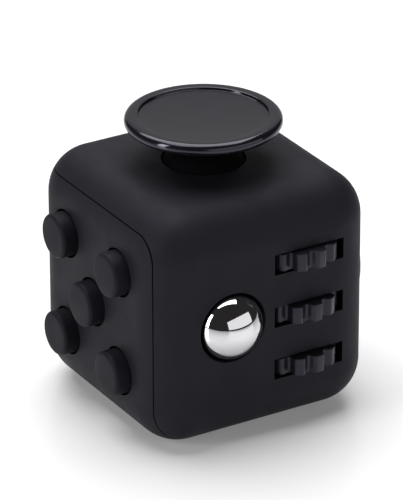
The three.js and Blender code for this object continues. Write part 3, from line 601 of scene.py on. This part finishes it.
def wheel_cutters(name):
    low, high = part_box(f"thumb_wheel_{name}")
    at = in_face("front", middle(f"thumb_wheel_{name}"))
    radius = (high.x - low.x) / 2 / MM + SLOT_ROOM
    bottom, top = at.y - SLOT_HEIGHT / 2, at.y + SLOT_HEIGHT / 2
    left, right = SLOT_CENTRE - SLOT_WIDTH / 2, SLOT_CENTRE + SLOT_WIDTH / 2
    slot = block(left, right, bottom, top, -WALL - BEYOND, BEYOND)
    # the room for the wheel is a round pocket behind the face, flat in front
    front = SLOT_SKIN - WALL - at.z
    edge = math.degrees(math.asin(front / radius))
    outline = arc(0, 0, radius, 180 - edge, 360 + edge, 64)
    across = Matrix(((1, 0, 0, at.x), (0, 0, 1, 0), (0, 1, 0, at.z), (0, 0, 0, 1)))
    room = placed(prism(outline, bottom, top), across)
    return [placed(slot, face("front")), placed(room, face("front"))]


def ball_hole():
    low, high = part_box("steel_ball")
    at = in_face("front", middle("steel_ball"))
    bore = (high.x - low.x) / 2 / MM + GAP + BALL_BORE_ROOM
    back = -WALL - BEYOND
    mouth = [(BALL_LIP, -BALL_LIP_DEPTH), (BALL_LIP + BALL_LIP_SLOPE, -BALL_LIP_TURN), (BALL_HOLE, 0)]
    profile = [(0, back), (bore, back), (bore, BALL_LIP_DEPTH + BALL_LIP_THICK - WALL), *mouth,
               (BALL_HOLE, BEYOND), (0, BEYOND)]
    return placed(lathe(profile, 128), face("front") @ Matrix.Translation((at.x, at.y, 0)))


def round_hole(face_name, radius, u=0, v=0, segments=96):
    profile = [(0, -WALL - BEYOND), (radius, -WALL - BEYOND), (radius, BEYOND), (0, BEYOND)]
    return placed(lathe(profile, segments), face(face_name) @ Matrix.Translation((u, v, 0)))


def joystick_hole():
    return placed(lathe(ball_outline(DOME_RADIUS + GAP, -STICK_PIVOT, 64), 128), face("top"))


def shade_inside(obj, dished=0):
    """Gives a shell's inside and the walls of its holes a matt finish and painted shade, a colour far
    darker than the casing's, apart from a dish of the given radius."""
    # painted shade: faces under the outer surface take the far darker matt plastic
    obj.data.materials.append(MATERIALS["matt_plastic"])
    core = HALF - EDGE_ROUND
    for polygon in obj.data.polygons:
        at = (polygon.center - CENTRE) / MM
        past = Vector(abs(part) - core for part in at)
        outward = Vector(max(part, 0) for part in past).length + min(max(past), 0) - EDGE_ROUND
        in_dish = at.xy.length < dished and at.z < DISH_DEPTH + LIP - HALF
        if outward < -RECESSED and not in_dish:
            polygon.material_index = 1


def casing_front():
    obj = to_object("main_shell", shell())
    cutters = [hollow(), parting_block(0)]
    for name in FRONT_TOOTH:
        cutters += wheel_cutters(name)
    cutters += [ball_hole(), joystick_hole(), round_hole("right", DIAL_HUB + GAP)]
    boolean(obj, "DIFFERENCE", cutters)
    soften(obj)
    finish(obj, "casing_top_front_right", "casing", "casing_plastic", 30)
    shade_inside(obj)


def button_hole(name):
    at = in_face("left", middle(f"button_{name}"))
    return round_hole("left", BUTTON_RADIUS + GAP, at.x, at.y)


def dish():
    scoop_radius = (DISH_RADIUS ** 2 + DISH_DEPTH ** 2) / (2 * DISH_DEPTH)
    centre = scoop_radius - DISH_DEPTH
    edge = math.degrees(math.acos(DISH_RADIUS / scoop_radius))
    scoop = arc(0, centre, scoop_radius, -90, -edge, 32)
    scoop[0] = (0, -DISH_DEPTH)
    return placed(lathe([*scoop, (DISH_RADIUS, BEYOND), (0, BEYOND)], 128), face("bottom"))


def upright(radius, low, high, x=0, y=0, segments=48):
    """A round bar standing between two heights above the ground, in mm."""
    profile = [(0, low), (radius, low), (radius, high), (0, high)]
    ground = Matrix.Translation((CENTRE.x, CENTRE.y, CUBE_LOW.z)) @ Matrix.Scale(MM, 4)
    return placed(lathe(profile, segments), ground @ Matrix.Translation((x, y, 0)))


def casing_rear():
    obj = to_object("base_shell", shell())
    boolean(obj, "DIFFERENCE", [hollow()])
    boolean(obj, "INTERSECT", [parting_block(SEAM)])
    screws = [middle(f"frame_screw_{i}") / MM for i in range(1, 5)]
    inside = [upright(DISH_PAD, WALL / 2, DISH_PAD_TOP, segments=96)]
    inside += [upright(BOSS_RADIUS, WALL / 2, BOSS_TOP, at.x, at.y) for at in screws]
    boolean(obj, "UNION", inside)
    open_u, open_v = ROCKER_OPEN
    opening = block(-open_u, open_u, -open_v, open_v, -WALL - BEYOND, BEYOND)
    cutters = [placed(opening, face("back")), dish()]
    cutters += [button_hole(name) for name in BUTTONS]
    cutters += [upright(PILOT_RADIUS, WALL + GAP, BOSS_TOP + BEYOND, at.x, at.y, 24) for at in screws]
    boolean(obj, "DIFFERENCE", cutters)
    soften(obj, angle=28)
    finish(obj, "casing_left_bottom_back", "casing", "casing_plastic", 30)
    shade_inside(obj, DISH_RADIUS + LIP)


casing_front()
casing_rear()


# ---------------------------------------------------------------- springs, coiled in place of the frame's
def spring(node, face_name, wire_radius, turns):
    """A coil in place of a node's, with the points at the middle of its foot and of its head."""
    low, high = (in_face(face_name, corner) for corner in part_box(node))
    at = in_face(face_name, middle(node))
    ends = sorted((low.z, high.z))
    mean_radius = abs(high.y - low.y) / 2 - wire_radius
    where = face(face_name)
    wire = coil(mean_radius, wire_radius, turns, *ends)
    bm = placed(wire, where @ Matrix.Translation((at.x, at.y, 0)))
    obj = to_object(f"coiled_{node}", bm)
    smooth(obj)
    obj.data.materials.append(MATERIALS["steel"])
    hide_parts(node)
    return obj, *(where @ Vector((at.x, at.y, end)) for end in ends)


def pressed_spring(node, face_name, size):
    """A spring that rides with the casing, on a mesh of its own."""
    obj, foot, head = spring(node, face_name, *size)
    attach(obj, "casing")
    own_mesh(obj)


for button_name in BUTTONS:
    pressed_spring(f"button_spring_{button_name}", "left", BUTTON_SPRING)
pressed_spring("ball_spring", "front", BALL_SPRING)
joystick_spring, spring_foot, spring_head = spring("joystick_spring", "top", *JOYSTICK_SPRING)
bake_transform(joystick_spring)


# ---------------------------------------------------------------- the pieces inside, kept from the frame
for part in frame["record"]["subparts"]:
    node = frame["nodes"][part["node"]]
    for material_slot in node.material_slots:
        material_slot.material = MATERIALS[part["material_slot"]]


# ---------------------------------------------------------------- floor, light and camera
def floor():
    bm = bmesh.new()
    bmesh.ops.create_grid(bm, x_segments=1, y_segments=1, size=3)
    obj = to_object("studio_floor", bm)
    obj.location.z = CUBE_LOW.z - FLOOR_GAP * MM
    material = bpy.data.materials.new("white_acrylic")
    tree, shader = nodes_of(material)
    haze = noise_at(tree, 60, 2)
    colour = mixed(tree, ranged(tree, haze, 0, 1), (0.86, 0.86, 0.87), (0.88, 0.88, 0.89))
    tree.links.new(colour, shader.inputs["Base Color"])
    tree.links.new(ranged(tree, haze, 0.16, 0.2), shader.inputs["Roughness"])
    shader.inputs["Specular IOR Level"].default_value = 0.5
    shader.inputs["Emission Color"].default_value = (1, 1, 1.01, 1)
    shader.inputs["Emission Strength"].default_value = 0.125
    obj.data.materials.append(material)


def softbox(name, position, size, power):
    """A rectangular light that faces the cube."""
    light = bpy.data.lights.new(name, "AREA")
    light.shape = "RECTANGLE"
    light.size, light.size_y = size
    light.energy = power
    obj = bpy.data.objects.new(name, light)
    bpy.context.scene.collection.objects.link(obj)
    obj.location = position
    obj.rotation_euler = (CENTRE - Vector(position)).to_track_quat("-Z", "Y").to_euler()


SOFTBOXES = (                   # name, position and size in metres, power in watts
    ("overhead", (0.05, 0.3, 0.9), (1.05, 0.95), 13.4),
    ("front_panel", (0.3, -0.92, 0.36), (1.75, 0.58), 3.6),
    ("left_strip", (-0.95, 0.02, 0.36), (0.2, 0.66), 4.3),
    ("back_panel", (0.55, 0.95, 0.5), (1.5, 0.9), 1.75),
)


def studio():
    world = bpy.data.worlds.new("studio")
    world.use_nodes = True
    background = world.node_tree.nodes["Background"]
    background.inputs["Color"].default_value = (1, 0.94, 0.9, 1)
    background.inputs["Strength"].default_value = 0.03
    bpy.context.scene.world = world
    for light in SOFTBOXES:
        softbox(*light)


def camera():
    azimuth, elevation, roll = math.radians(-30.792), math.radians(25.767), math.radians(-0.13)
    distance, slide_right, slide_up = 0.57377, -0.000291, 0.002874
    back = Vector((math.sin(azimuth) * math.cos(elevation), -math.cos(azimuth) * math.cos(elevation),
                   math.sin(elevation)))
    level = Vector((math.cos(azimuth), math.sin(azimuth), 0))
    rise = back.cross(level)
    right = math.cos(roll) * level + math.sin(roll) * rise
    up = math.cos(roll) * rise - math.sin(roll) * level
    target = CENTRE + slide_right * right + slide_up * up
    data = bpy.data.cameras.new("photo_view")
    data.sensor_width = 36
    data.lens = 314.94
    data.clip_start = 0.01
    obj = bpy.data.objects.new("photo_view", data)
    bpy.context.scene.collection.objects.link(obj)
    turn = Matrix((right, up, back)).transposed().to_4x4()
    obj.matrix_world = Matrix.Translation(target + distance * back) @ turn
    bpy.context.scene.camera = obj


floor()
studio()
camera()
bpy.context.scene.view_settings.view_transform = "Standard"
